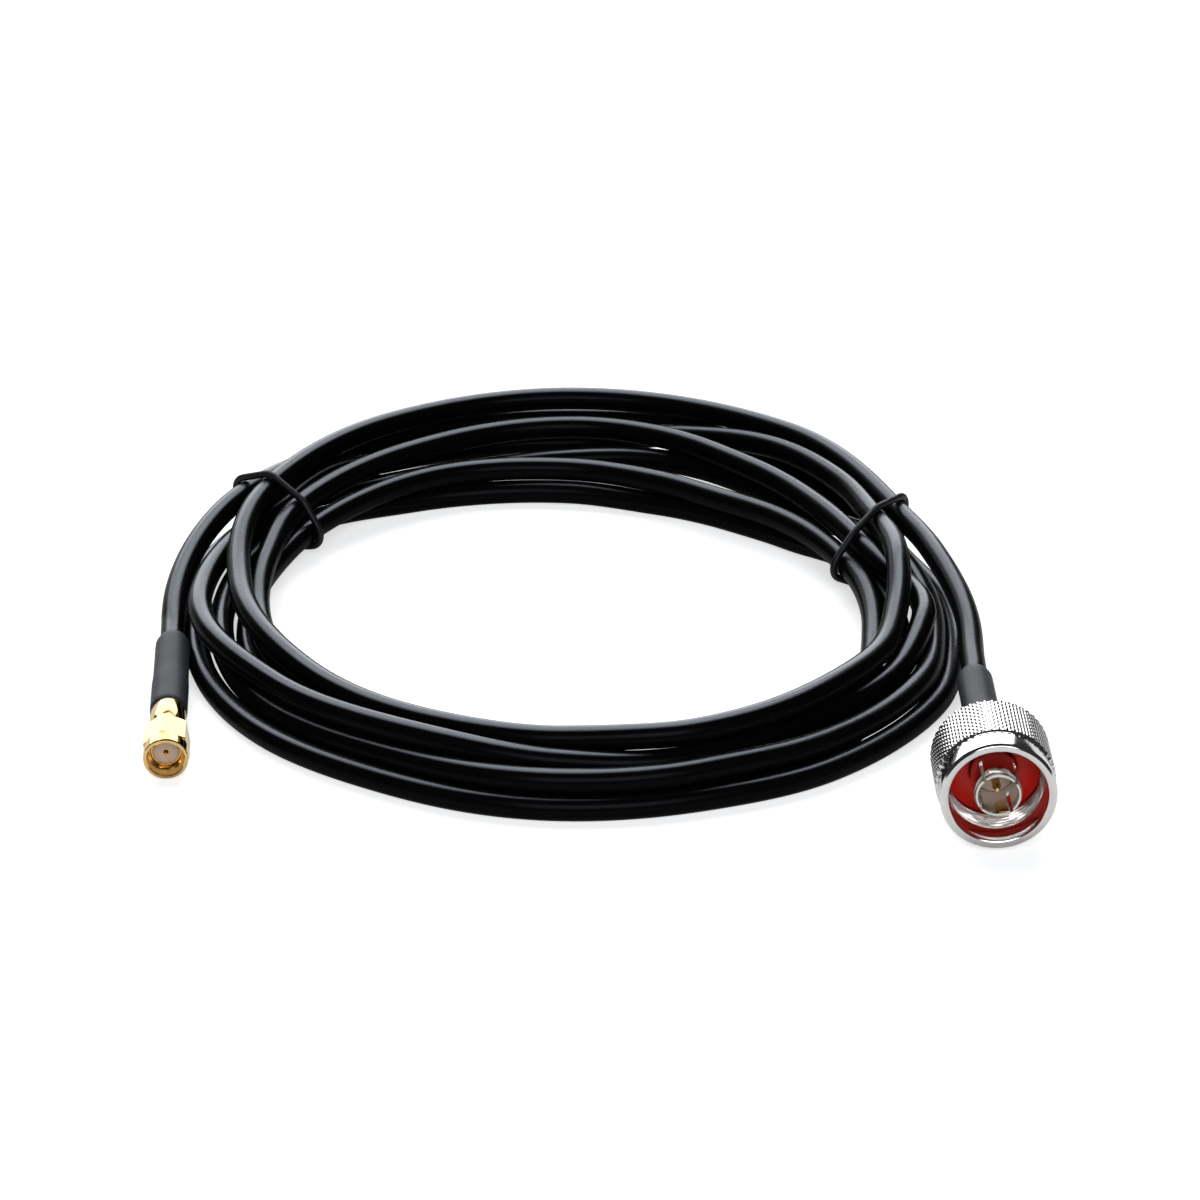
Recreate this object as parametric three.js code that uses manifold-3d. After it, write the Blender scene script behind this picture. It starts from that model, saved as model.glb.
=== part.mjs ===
// Coiled coaxial jumper: a screw-on N plug at one end and a small hex-nut plug at the other.
// Millimetres, +Z up, floor at z = 0. The coil lies flat and both plugs point towards -Y.
import * as THREE from "three";
import Module from "manifold-3d";
import { mergeVertices } from "three/addons/utils/BufferGeometryUtils.js";

const wasm = await Module();
wasm.setup();

// Common clearance between pieces that touch on the real cable
const touchGap = 0.3;
const roundSides = 48;

// Cable and its coil. The coil's centre is placed so that the whole part is centred on the origin.
const cableDiameter = 4.95;
const cableSides = 8;
const coilCentre = new THREE.Vector2(-3.88, -0.8);
const coilMeanRadius = 67.05;
const bundleWidth = 17.1;
const bundleHeight = 11.7;
const bundleCorner = 2.6;
const shoulderWidth = 5.0;
const shoulderDrop = 7.4;
const coilSides = 72;

// Rubber ties, each in an upright plane through the coil's axis, with the bundle lying on them
const tieDiameter = 1.5;
const tieLeftAngle = 147;
const tieRightAngle = 22;
const tieCornerSteps = 4;
const tieSteps = 56;

const coilInner = coilMeanRadius - bundleWidth / 2;
const coilOuter = coilMeanRadius + bundleWidth / 2;
const coilBottom = tieDiameter + touchGap + 0.1;
const coilTop = coilBottom + bundleHeight;

// N plug: lengths run back from the front face of its nut, towards the cable
const nFront = new THREE.Vector3(0, -1, 0.045).normalize();
const nNutLength = 18.2;
const nRingRadius = 10.65;
const nRingLength = 5.2;
const nKnurlRadius = 11.0;
const nMouthRadius = 9.05;
const nMouthDepth = 1.0;
const nBoreRadius = 8.85;
const nFlangeRadius = nBoreRadius - touchGap;
const nFlangeFront = 12.0;
const nFlangeBack = 13.8;
const nNeckRadius = 5.6;
const nBodyEnd = 21.2;
const nContactRadius = 4.4;
const nContactWall = 0.75;
const nContactFront = 0.6;
const nSlotWidth = 0.7;
const nSlotEnd = 7.6;
const nSlotAngle = 40;
const nGasketThickness = 1.1;
const nPinRadius = 0.82;
const nPinTip = 2.8;
const nDielectricFront = 9.4;
const ferruleRadius = 2.8;
const ferruleLength = 12;

// Small plug with a hex nut, lengths again from the front face of its nut
const smaFront = new THREE.Vector3(0.07, -1, 0).normalize();
const smaCollarRadius = 4.25;
const smaCollarLength = 3.2;
const smaHexFlats = 8.0;
const smaHexEnd = 10.0;
const smaHexTurn = 8;
const smaBoreRadius = 3.25;
const smaShellRadius = smaBoreRadius - touchGap;
const smaShellFront = 2.9;
const smaShellBack = 7.4;
const smaLipRadius = 2.5;
const smaBarrelRadius = 3.45;
const smaBarrelEnd = 18.4;
const smaDielectricRadius = 2.45;
const smaSocketRadius = 0.65;
const smaSocketBore = 0.47;

// Shrink sleeves
const sleeveRadius = 3.6;
const sleeveTailRadius = 2.85;
const sleeveTaper = 3.0;
const sleeveLength = 26.8;

const degrees = (angle) => (angle * Math.PI) / 180;

// Heights at which the nuts rest on the floor: the N nut on its rear edge, the hex nut on a corner
const hexRadius = smaHexFlats / 2 / Math.cos(degrees(30));
const nNutEdge = nNutLength - 0.6;
const nRestHeight = nKnurlRadius * Math.hypot(nFront.x, nFront.y) + 0.01;
const smaRestHeight = hexRadius * Math.cos(degrees(smaHexTurn)) + 0.03;
const nPlugLength = nBodyEnd + touchGap + sleeveLength;
const smaPlugLength = smaBarrelEnd + touchGap + sleeveLength;
const nLeadHeight = nRestHeight - (nPlugLength + touchGap - nNutEdge) * nFront.z;

// Where a strand lies against the coil's outer shoulder
const shoulderLength = Math.hypot(shoulderWidth, shoulderDrop);
const strandReach = cableDiameter / 2 + touchGap;
const nestRadius = coilOuter - shoulderWidth / 2 + ((strandReach + 0.05) * shoulderDrop) / shoulderLength;
const nestHeight = coilTop - shoulderDrop / 2 + ((strandReach + 0.05) * shoulderWidth) / shoulderLength;
const outerNestRadius = nestRadius + cableDiameter + touchGap;

// Outer strands: [angle round the coil, radius, height]. Each runs from its sleeve through the ties
// and stands off the bundle behind it, where the loop is slack.
const leadN = [
  [-25.79, coilOuter + 11.4, nLeadHeight],
  [-19.54, coilOuter + 8.1, nLeadHeight + 0.2],
  [-12.39, coilOuter + 5.5, nestHeight - 1.1],
  [-4.38, coilOuter + 2.9, nestHeight - 0.6],
  [3.3, nestRadius + 1.3, nestHeight - 0.2],
  [10, nestRadius + 0.3, nestHeight],
  [tieRightAngle, nestRadius, nestHeight],
  [30, nestRadius + 1.0, nestHeight + 0.4],
  [40, nestRadius + 3.4, nestHeight + 1.4],
  [55, nestRadius + 6.6, nestHeight + 2.3],
  [72, nestRadius + 8.4, nestHeight + 2.7],
  [90, nestRadius + 9.0, nestHeight + 2.9],
  [108, nestRadius + 8.3, nestHeight + 2.9],
  [122, nestRadius + 5.9, nestHeight + 2.7],
  [134, nestRadius + 2.2, nestHeight + 1.7],
  [142, nestRadius + 0.3, nestHeight + 0.4],
  [tieLeftAngle, nestRadius, nestHeight],
  [tieLeftAngle + 3, nestRadius, nestHeight],
];
const leadSma = [
  [190.25, coilOuter + 3.67, smaRestHeight],
  [184.0, coilOuter + 3.3, smaRestHeight + 0.2],
  [177.8, coilOuter + 3.55, smaRestHeight + 1.0],
  [170.3, coilOuter + 4.35, smaRestHeight + 2.2],
  [163.0, coilOuter + 4.9, smaRestHeight + 3.8],
  [156.8, outerNestRadius, nestHeight - 1.5],
  [151.1, outerNestRadius, nestHeight - 0.4],
  [tieLeftAngle, outerNestRadius, nestHeight],
  [140, outerNestRadius + 1.6, nestHeight - 0.5],
  [132, outerNestRadius + 2.8, nestHeight - 1.0],
  [120, outerNestRadius + 4.3, nestHeight - 1.9],
  [105, outerNestRadius + 5.5, nestHeight - 2.3],
  [90, outerNestRadius + 5.2, nestHeight - 2.9],
  [72, outerNestRadius + 2.2, nestHeight - 4.7],
  [58, coilOuter + strandReach + 1.0, nestHeight - 6.7],
  [48, coilOuter + strandReach + 0.1, nestHeight - 7.3],
];

function coilPoint([angle, radius, height]) {
  const x = coilCentre.x + radius * Math.cos(degrees(angle));
  const y = coilCentre.y + radius * Math.sin(degrees(angle));
  return new THREE.Vector3(x, y, height);
}

// A plug's frame has its origin at the front face of the nut, one plug's length beyond the cable's end
function plugMatrix(leadEnd, front, length) {
  const side = new THREE.Vector3().crossVectors(new THREE.Vector3(0, 0, 1), front).normalize();
  const up = new THREE.Vector3().crossVectors(front, side);
  const face = coilPoint(leadEnd).addScaledVector(front, length + touchGap);
  return new THREE.Matrix4().makeBasis(side, up, front).setPosition(face);
}

const nPlace = plugMatrix(leadN[0], nFront, nPlugLength);
const smaPlace = plugMatrix(leadSma[0], smaFront, smaPlugLength);

// Turned pieces: [radius, distance back from the plug's face], with the axis along the plug
function turned(profile, sides = roundSides) {
  const points = profile.map(([radius, back]) => new THREE.Vector2(radius, -back));
  const first = points[0];
  if (first.x > 0) points.push(first.clone());
  const geometry = new THREE.LatheGeometry(points, sides);
  return geometry.rotateX(Math.PI / 2);
}

function toSolid(geometry) {
  const bare = geometry.clone();
  bare.deleteAttribute("normal");
  bare.deleteAttribute("uv");
  const merged = mergeVertices(bare, 1e-5);
  const solid = new wasm.Manifold(new wasm.Mesh({
    numProp: 3,
    vertProperties: new Float32Array(merged.attributes.position.array),
    triVerts: new Uint32Array(merged.index.array),
  }));
  return solid;
}

function toGeometry(solid) {
  const mesh = solid.getMesh();
  const geometry = new THREE.BufferGeometry();
  geometry.setAttribute("position", new THREE.BufferAttribute(new Float32Array(mesh.vertProperties), 3));
  geometry.setIndex(new THREE.BufferAttribute(new Uint32Array(mesh.triVerts), 1));
  geometry.computeVertexNormals();
  return geometry;
}

const part = new THREE.Group();
part.name = "coax_jumper";

function addPiece(name, geometry, look) {
  const material = new THREE.MeshStandardMaterial(look);
  const mesh = new THREE.Mesh(geometry, material);
  mesh.name = name;
  part.add(mesh);
}

const jacket = { color: 0x0d0e11, roughness: 0.34, metalness: 0 };
const tieRubber = { color: 0x101114, roughness: 0.5, metalness: 0 };
const shrinkPlastic = { color: 0x2e3036, roughness: 0.72, metalness: 0 };
const nickel = { color: 0xc9c8c4, roughness: 0.22, metalness: 1 };
const gold = { color: 0xe2b45a, roughness: 0.2, metalness: 1 };
const silicone = { color: 0xc63a1e, roughness: 0.45, metalness: 0 };
const whitePlastic = { color: 0xe3d8cf, roughness: 0.5, metalness: 0 };

// Coil: one turned ring with the outline of the tied bundle
function coilRing() {
  const profile = [
    [coilInner, coilBottom + bundleCorner],
    [coilInner + bundleCorner, coilBottom],
    [coilOuter - bundleCorner, coilBottom],
    [coilOuter, coilBottom + bundleCorner],
    [coilOuter, coilTop - shoulderDrop],
    [coilOuter - shoulderWidth, coilTop],
    [coilInner + bundleCorner, coilTop],
    [coilInner, coilTop - bundleCorner],
  ];
  const points = profile.map(([radius, height]) => new THREE.Vector2(radius, height));
  points.push(points[0].clone());
  const geometry = new THREE.LatheGeometry(points, coilSides);
  geometry.rotateX(Math.PI / 2);
  return geometry.translate(coilCentre.x, coilCentre.y, 0);
}

// Uncoiled cable: a plain round tube along its points
function cableTube(rows) {
  const path = new THREE.CatmullRomCurve3(rows.map(coilPoint));
  const section = new THREE.Shape();
  for (let side = 0; side < cableSides; side += 1) {
    const angle = (side / cableSides) * 2 * Math.PI;
    const x = (cableDiameter / 2) * Math.cos(angle);
    const y = (cableDiameter / 2) * Math.sin(angle);
    if (side === 0) section.moveTo(x, y);
    else section.lineTo(x, y);
  }
  section.closePath();
  const steps = Math.round(path.getLength() / (cableDiameter * 0.9));
  return new THREE.ExtrudeGeometry(section, { steps, bevelEnabled: false, extrudePath: path });
}

// Tie: a rubber ring around the bundle and the strand beside it, in an upright plane
function tieLoop(angle, strandRadius, strandHeight) {
  const reach = tieDiameter / 2 + touchGap;
  const cornerReach = bundleCorner + reach;
  const corners = [
    [coilInner + bundleCorner, coilBottom, cornerReach, reach, 180, 270],
    [coilOuter - bundleCorner, coilBottom, cornerReach, reach, 270, 350],
    [strandRadius, strandHeight, cableDiameter / 2 + reach, cableDiameter / 2 + reach, -10, 100],
    [coilInner + bundleCorner, coilTop, cornerReach, reach, 90, 180],
  ];
  const around = [];
  for (const [radius, height, wide, high, from, to] of corners) {
    for (let step = 0; step <= tieCornerSteps; step += 1) {
      const turn = degrees(from + ((to - from) * step) / tieCornerSteps);
      around.push(coilPoint([angle, radius + wide * Math.cos(turn), height + high * Math.sin(turn)]));
    }
  }
  const path = new THREE.CatmullRomCurve3(around, true, "centripetal");
  return new THREE.TubeGeometry(path, tieSteps, tieDiameter / 2, 8, true);
}

// N plug
function nNut() {
  const knurlFront = nRingLength + 0.4;
  return turned([
    [nMouthRadius, 0],
    [nMouthRadius, nMouthDepth],
    [nBoreRadius, nMouthDepth + 0.4],
    [nBoreRadius, nFlangeBack + touchGap],
    [nNeckRadius + touchGap, nFlangeBack + touchGap],
    [nNeckRadius + touchGap, nNutLength],
    [nKnurlRadius - 0.6, nNutLength],
    [nKnurlRadius, nNutLength - 0.6],
    [nKnurlRadius, knurlFront],
    [nRingRadius, nRingLength],
    [nRingRadius, 0.35],
    [nRingRadius - 0.35, 0],
  ]).applyMatrix4(nPlace);
}

function nBody() {
  return turned([
    [0, nFlangeFront],
    [nFlangeRadius, nFlangeFront],
    [nFlangeRadius, nFlangeBack],
    [nNeckRadius, nFlangeBack],
    [nNeckRadius, nBodyEnd - 0.6],
    [nNeckRadius - 0.6, nBodyEnd],
    [ferruleRadius, nBodyEnd],
    [ferruleRadius, nBodyEnd + ferruleLength],
    [0, nBodyEnd + ferruleLength],
  ].reverse()).applyMatrix4(nPlace);
}

function nOuterContact() {
  const inner = nContactRadius - nContactWall;
  const back = nFlangeFront - touchGap;
  let solid = toSolid(turned([
    [inner, nContactFront],
    [inner, back],
    [nContactRadius, back],
    [nContactRadius, nContactFront + 0.2],
    [nContactRadius - 0.2, nContactFront],
  ]));
  const slotLength = nSlotEnd - nContactFront + 1;
  for (const turn of [0, 90]) {
    const slot = new THREE.BoxGeometry(nSlotWidth, 4 * nContactRadius, slotLength);
    slot.translate(0, 0, -(nSlotEnd - slotLength / 2));
    slot.rotateZ(degrees(nSlotAngle + turn));
    solid = solid.subtract(toSolid(slot));
  }
  return toGeometry(solid).applyMatrix4(nPlace);
}

function nGasket() {
  const inner = nContactRadius + touchGap;
  const back = nFlangeFront - touchGap;
  return turned([
    [inner, back - nGasketThickness],
    [inner, back],
    [nFlangeRadius, back],
    [nFlangeRadius, back - nGasketThickness],
  ]).applyMatrix4(nPlace);
}

function nDielectric() {
  const outer = nContactRadius - nContactWall - touchGap;
  const inner = nPinRadius + touchGap;
  const back = nFlangeFront - touchGap;
  return turned([
    [inner, nDielectricFront],
    [inner, back],
    [outer, back],
    [outer, nDielectricFront],
  ], 32).applyMatrix4(nPlace);
}

function nCenterPin() {
  return turned([
    [0, nFlangeFront - touchGap],
    [nPinRadius, nFlangeFront - touchGap],
    [nPinRadius, nPinTip + 0.9],
    [nPinRadius * 0.5, nPinTip + 0.15],
    [0, nPinTip],
  ], 24).applyMatrix4(nPlace);
}

// Shrink sleeve: over the crimp ferrule, then tapered down to the cable
function shrinkSleeve(front, place) {
  const end = front + sleeveLength;
  const boreEnd = front + ferruleLength;
  const bore = ferruleRadius + touchGap;
  return turned([
    [0, end],
    [sleeveTailRadius, end],
    [sleeveRadius, end - sleeveTaper],
    [sleeveRadius, front],
    [bore, front],
    [bore, boreEnd],
    [0, boreEnd],
  ]).applyMatrix4(place);
}

// Small plug
function smaNut() {
  const chamfer = 0.9;
  const envelope = toSolid(turned([
    [smaBoreRadius, 0],
    [smaBoreRadius, smaShellBack + touchGap],
    [smaLipRadius + touchGap, smaShellBack + touchGap],
    [smaLipRadius + touchGap, smaHexEnd],
    [smaHexFlats / 2, smaHexEnd],
    [hexRadius + 0.05, smaHexEnd - chamfer],
    [hexRadius + 0.05, smaCollarLength + 0.4],
    [smaCollarRadius, smaCollarLength],
    [smaCollarRadius, 0.3],
    [smaCollarRadius - 0.3, 0],
  ]));
  const hexLength = smaHexEnd + 2 - smaCollarLength;
  const hex = new THREE.CylinderGeometry(hexRadius, hexRadius, hexLength, 6);
  hex.rotateX(Math.PI / 2);
  hex.rotateZ(degrees(smaHexTurn));
  hex.translate(0, 0, -(smaCollarLength + hexLength / 2));
  const collar = new THREE.CylinderGeometry(smaCollarRadius + 1, smaCollarRadius + 1, smaCollarLength + 1, 24);
  collar.rotateX(Math.PI / 2);
  collar.translate(0, 0, -(smaCollarLength - 1) / 2);
  const solid = envelope.intersect(toSolid(hex).add(toSolid(collar)));
  return toGeometry(solid).applyMatrix4(smaPlace);
}

function smaBody() {
  const back = smaShellBack;
  const barrelFront = smaHexEnd + touchGap;
  return turned([
    [0, smaBarrelEnd + ferruleLength],
    [ferruleRadius, smaBarrelEnd + ferruleLength],
    [ferruleRadius, smaBarrelEnd],
    [smaBarrelRadius, smaBarrelEnd],
    [smaBarrelRadius, barrelFront + 0.3],
    [smaBarrelRadius - 0.3, barrelFront],
    [smaLipRadius, barrelFront],
    [smaLipRadius, back],
    [smaShellRadius, back],
    [smaShellRadius, smaShellFront],
    [smaDielectricRadius + touchGap, smaShellFront],
    [smaDielectricRadius + touchGap, back - 1],
    [0, back - 1],
  ]).applyMatrix4(smaPlace);
}

function smaDielectric() {
  const inner = smaSocketRadius + touchGap;
  const back = smaShellBack - 1 - touchGap;
  return turned([
    [inner, smaShellFront],
    [inner, back],
    [smaDielectricRadius, back],
    [smaDielectricRadius, smaShellFront],
  ], 32).applyMatrix4(smaPlace);
}

function smaCenterSocket() {
  const back = smaShellBack - 1 - touchGap;
  return turned([
    [0, back],
    [smaSocketRadius, back],
    [smaSocketRadius, smaShellFront],
    [smaSocketBore, smaShellFront],
    [smaSocketBore, back - 1],
    [0, back - 1],
  ], 24).applyMatrix4(smaPlace);
}

addPiece("cable_coil", coilRing(), jacket);
addPiece("cable_lead_n", cableTube(leadN), jacket);
addPiece("cable_lead_sma", cableTube(leadSma), jacket);
addPiece("tie_left", tieLoop(tieLeftAngle, outerNestRadius, nestHeight), tieRubber);
addPiece("tie_right", tieLoop(tieRightAngle, nestRadius, nestHeight), tieRubber);
addPiece("n_nut", nNut(), nickel);
addPiece("n_body", nBody(), nickel);
addPiece("n_outer_contact", nOuterContact(), nickel);
addPiece("n_gasket", nGasket(), silicone);
addPiece("n_dielectric", nDielectric(), whitePlastic);
addPiece("n_center_pin", nCenterPin(), gold);
addPiece("n_heat_shrink", shrinkSleeve(nBodyEnd + touchGap, nPlace), shrinkPlastic);
addPiece("sma_nut", smaNut(), gold);
addPiece("sma_body", smaBody(), gold);
addPiece("sma_dielectric", smaDielectric(), whitePlastic);
addPiece("sma_center_socket", smaCenterSocket(), gold);
addPiece("sma_heat_shrink", shrinkSleeve(smaBarrelEnd + touchGap, smaPlace), shrinkPlastic);

export default part;
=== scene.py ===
# Looks of the coiled coaxial jumper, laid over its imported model
import math

import bmesh
import bpy
import numpy as np
from mathutils import Matrix, Vector


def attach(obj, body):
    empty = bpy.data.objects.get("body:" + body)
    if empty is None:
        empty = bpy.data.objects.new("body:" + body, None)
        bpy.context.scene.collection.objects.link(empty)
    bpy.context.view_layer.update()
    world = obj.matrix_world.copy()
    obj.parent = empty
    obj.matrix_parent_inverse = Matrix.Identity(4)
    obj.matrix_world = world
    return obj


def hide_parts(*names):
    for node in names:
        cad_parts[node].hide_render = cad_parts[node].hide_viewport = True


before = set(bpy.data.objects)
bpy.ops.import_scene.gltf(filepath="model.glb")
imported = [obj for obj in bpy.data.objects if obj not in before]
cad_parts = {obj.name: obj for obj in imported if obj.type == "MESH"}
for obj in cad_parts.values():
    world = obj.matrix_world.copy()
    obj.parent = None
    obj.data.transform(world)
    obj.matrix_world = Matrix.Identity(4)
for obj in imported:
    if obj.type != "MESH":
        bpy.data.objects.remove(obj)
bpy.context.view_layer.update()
print("frame loaded:", len(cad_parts), "nodes")

# View: the photograph's angle and lens
view = {
    "elevation": 27.0,
    "target": (0.00262, 0.0142, 0.0),
    "distance": 0.780,
    "lens": 114.0,
    "sensor": 36.0,
}


def addCamera():
    data = bpy.data.cameras.new("camera")
    data.lens = view["lens"]
    data.sensor_width = view["sensor"]
    data.sensor_fit = "HORIZONTAL"
    camera = bpy.data.objects.new("camera", data)
    bpy.context.scene.collection.objects.link(camera)
    rise = math.radians(view["elevation"])
    back = Vector((0, -math.cos(rise), math.sin(rise)))
    camera.location = Vector(view["target"]) + back * view["distance"]
    camera.rotation_euler = back.to_track_quat("Z", "Y").to_euler()
    bpy.context.scene.camera = camera


addCamera()

# Places of the plugs: origin on the nut's front face, axes right, up and out of the plug
plugPlaces = {
    "n": {"face": (74.454, -87.202, 11.790), "front": (0, -1, 0.045)},
    "sma": {"face": (-78.687, -60.594, 4.604), "front": (0.07, -1, 0)},
}


def plugMatrix(place):
    front = Vector(place["front"]).normalized()
    side = Vector((0, 0, 1)).cross(front).normalized()
    up = front.cross(side)
    matrix = Matrix((side, up, front)).transposed().to_4x4()
    matrix.translation = Vector(place["face"])
    return Matrix.Scale(0.001, 4) @ matrix


nMatrix = plugMatrix(plugPlaces["n"])
smaMatrix = plugMatrix(plugPlaces["sma"])

# Cable: millimetres and degrees round the coil from +X, only its length is in metres
cable = {
    "diameter": 4.95,
    "length": 2.95,
    "centre": (-3.88, -0.8),
    "passes": 7,
    "lastPass": 6,  # the one that ends in the small plug
    "step": 3,
    "clear": 4.97,  # least distance between the middles of two passes
    "rounds": 400,
    "push": 0.5,
    "smooth": 0.9,
    "pull": 0.002,  # back towards the stations
    "sides": 5,
    "nSleeveEnd": 48.3,
    "smaSleeveEnd": 45.5,
    "insideSleeve": 9.0,
    "insideStep": 3.0,
}

# Lay of the strand: angle, then for each pass round the coil its radius and height
strandLay = {
    184: {6: (78.9, 4.9)},
    335: {
        0: (67.6, 10.8), 1: (70.8, 7.8), 2: (64.4, 5.2),
        3: (69.2, 2.6), 4: (75.6, 5.8), 5: (78.6, 2.5),
    },
    341: {-1: (83.2, 9.75)},
    350: {
        -1: (80.2, 10.4), 0: (66.4, 11.6), 1: (71.8, 10.0), 2: (61.8, 6.0),
        3: (67.0, 3.0), 4: (73.4, 6.0), 5: (77.4, 2.5),
    },
    355.6: {-1: (78.5, 10.9)},
    3: {0: (76.7, 11.3), 6: (77.2, 2.6)},
    10: {0: (75.7, 11.6)},
    22: {
        0: (75.3, 11.7), 1: (68.6, 12.6), 2: (62.6, 10.6), 3: (59.6, 7.5),
        4: (63.6, 4.2), 5: (69.9, 7.6), 6: (73.8, 4.2),
    },
    40: {1: (73.6, 12.4), 3: (58.0, 7.6), 4: (59.8, 2.7), 5: (66.0, 6.4), 6: (74.8, 6.2)},
    55: {
        0: (82.0, 13.8), 1: (77.0, 12.2), 2: (67.4, 10.6), 3: (57.2, 7.4),
        4: (58.6, 2.5), 5: (68.4, 6.9), 6: (79.0, 7.4),
    },
    72: {1: (78.0, 10.0), 3: (59.4, 7.3), 4: (58.8, 2.5), 5: (71.4, 7.2), 6: (84.5, 9.2)},
    90: {
        0: (84.4, 14.4), 1: (80.6, 5.4), 2: (76.2, 11.2), 3: (63.2, 7.0),
        4: (60.8, 2.9), 5: (71.0, 5.8), 6: (85.9, 8.8),
    },
    120: {
        0: (80.9, 14.2), 1: (77.8, 7.0), 2: (72.0, 11.0), 3: (65.4, 7.0),
        4: (66.0, 2.6), 5: (75.0, 3.2), 6: (82.6, 10.0),
    },
    133: {1: (76.4, 9.0)},
    147: {
        0: (74.9, 12.9), 1: (73.6, 8.2), 2: (68.2, 9.8), 3: (65.2, 5.8),
        4: (71.0, 4.1), 5: (78.0, 4.1), 6: (80.6, 10.9),
    },
    164: {2: (64.0, 8.6), 3: (65.2, 3.6), 5: (78.6, 3.0)},
    180: {
        0: (65.6, 11.0), 1: (73.7, 8.6), 2: (62.4, 7.0), 3: (64.0, 2.6),
        4: (69.4, 4.6), 5: (75.2, 2.6), 6: (79.1, 5.6),
    },
    215: {
        0: (61.6, 10.8), 1: (68.2, 9.2), 2: (60.7, 6.0),
        3: (64.0, 2.6), 4: (69.6, 5.0), 5: (73.8, 2.5),
    },
    240: {
        0: (61.6, 10.6), 1: (67.0, 9.2), 2: (60.8, 5.4),
        3: (64.6, 2.6), 4: (68.8, 6.0), 5: (71.4, 2.5),
    },
    270: {
        0: (63.2, 10.4), 1: (67.2, 8.4), 2: (62.4, 5.2),
        3: (66.6, 3.2), 4: (71.6, 6.7), 5: (74.0, 2.5),
    },
    290: {0: (67.2, 11.0), 1: (68.8, 7.6), 4: (71.6, 7.2), 5: (75.0, 2.5)},
    310: {
        0: (67.6, 12.0), 1: (66.4, 7.4), 2: (66.4, 2.6),
        3: (71.5, 2.6), 4: (74.0, 6.2), 5: (77.6, 2.5),
    },
}


def coilAngle(point):
    return math.degrees(math.atan2(point[1] - cable["centre"][1], point[0] - cable["centre"][0]))


def coilRadius(point):
    return math.hypot(point[0] - cable["centre"][0], point[1] - cable["centre"][1])


def sleeveEnd(place, back):
    return np.array(Vector(place["face"]) - Vector(place["front"]).normalized() * back)


def monotoneCurve(xs, ys, at):
    # Cubic through the stations with no overshoot between them
    width = np.diff(xs)
    slope = np.diff(ys) / width
    tangent = np.zeros_like(ys)
    for i in range(1, len(xs) - 1):
        if slope[i - 1] * slope[i] > 0:
            first = 2 * width[i] + width[i - 1]
            second = width[i] + 2 * width[i - 1]
            tangent[i] = (first + second) / (first / slope[i - 1] + second / slope[i])
    tangent[0] = slope[0]
    tangent[-1] = slope[-1]
    i = np.clip(np.searchsorted(xs, at) - 1, 0, len(width) - 1)
    t = (at - xs[i]) / width[i]
    start = (2 * t**3 - 3 * t**2 + 1) * ys[i] + (t**3 - 2 * t**2 + t) * width[i] * tangent[i]
    end = (-2 * t**3 + 3 * t**2) * ys[i + 1] + (t**3 - t**2) * width[i] * tangent[i + 1]
    return start + end


def relaxStrand(points):
    # Passes that come too near push each other apart, and the strand stays smooth and on the floor
    base = points.copy()
    perTurn = 360 // cable["step"]
    for _ in range(cable["rounds"]):
        push = np.zeros_like(points)
        for turn in range(1, cable["passes"] + 1):
            for shift in (-2, -1, 0, 1, 2):
                offset = turn * perTurn + shift
                if offset >= len(points):
                    continue
                away = points[offset:] - points[:-offset]
                distance = np.linalg.norm(away, axis=1, keepdims=True)
                move = away / distance * np.clip(cable["clear"] - distance, 0, None) / 2
                push[offset:] += move
                push[:-offset] -= move
        along = np.gradient(points, axis=0)
        along /= np.linalg.norm(along, axis=1, keepdims=True)
        push -= (push * along).sum(1, keepdims=True) * along
        moved = points - base
        near = 4 * moved[1:-3] + 4 * moved[3:-1]
        smooth = np.zeros_like(points)
        smooth[2:-2] = (near - moved[:-4] - moved[4:] - 6 * moved[2:-2]) / 16
        points = points + cable["push"] * push + cable["smooth"] * smooth - cable["pull"] * moved
        points[:2] = base[:2]
        points[-2:] = base[-2:]
        points[:, 2] = np.maximum(points[:, 2], cable["diameter"] / 2)
    return points


def doubled(points):
    # A point between each two, on a smooth curve through their neighbours
    middle = (points[:-1] + points[1:]) / 2
    middle[1:-1] = (9 * points[1:-2] + 9 * points[2:-1] - points[:-3] - points[3:]) / 16
    out = np.zeros((2 * len(points) - 1, 3))
    out[::2] = points
    out[1::2] = middle
    return out


def strandRoute():
    nEnd = sleeveEnd(plugPlaces["n"], cable["nSleeveEnd"])
    smaEnd = sleeveEnd(plugPlaces["sma"], cable["smaSleeveEnd"])
    rows = [(coilAngle(nEnd), coilRadius(nEnd), nEnd[2])]
    lastAngle = coilAngle(smaEnd) % 360 + cable["lastPass"] * 360
    rows.append((lastAngle, coilRadius(smaEnd), smaEnd[2]))
    for angle, passes in strandLay.items():
        for number, (radius, height) in passes.items():
            rows.append((angle + 360 * number, radius, height))
    rows = np.array(sorted(rows))
    turns = np.arange(rows[0, 0], rows[-1, 0], cable["step"])
    turns[-1] = rows[-1, 0]
    radius = monotoneCurve(rows[:, 0], rows[:, 1], turns)
    height = monotoneCurve(rows[:, 0], rows[:, 2], turns)
    x = cable["centre"][0] + radius * np.cos(np.radians(turns))
    y = cable["centre"][1] + radius * np.sin(np.radians(turns))
    coiled = relaxStrand(np.stack([x, y, height], axis=1))
    inside = np.arange(cable["insideSleeve"], 0, -cable["insideStep"])
    nFront = np.array(Vector(plugPlaces["n"]["front"]).normalized())
    smaFront = np.array(Vector(plugPlaces["sma"]["front"]).normalized())
    start = nEnd + nFront * inside[:, None]
    end = smaEnd + smaFront * inside[::-1, None]
    return turns, coiled, doubled(np.concatenate([start, coiled, end]))


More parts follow.
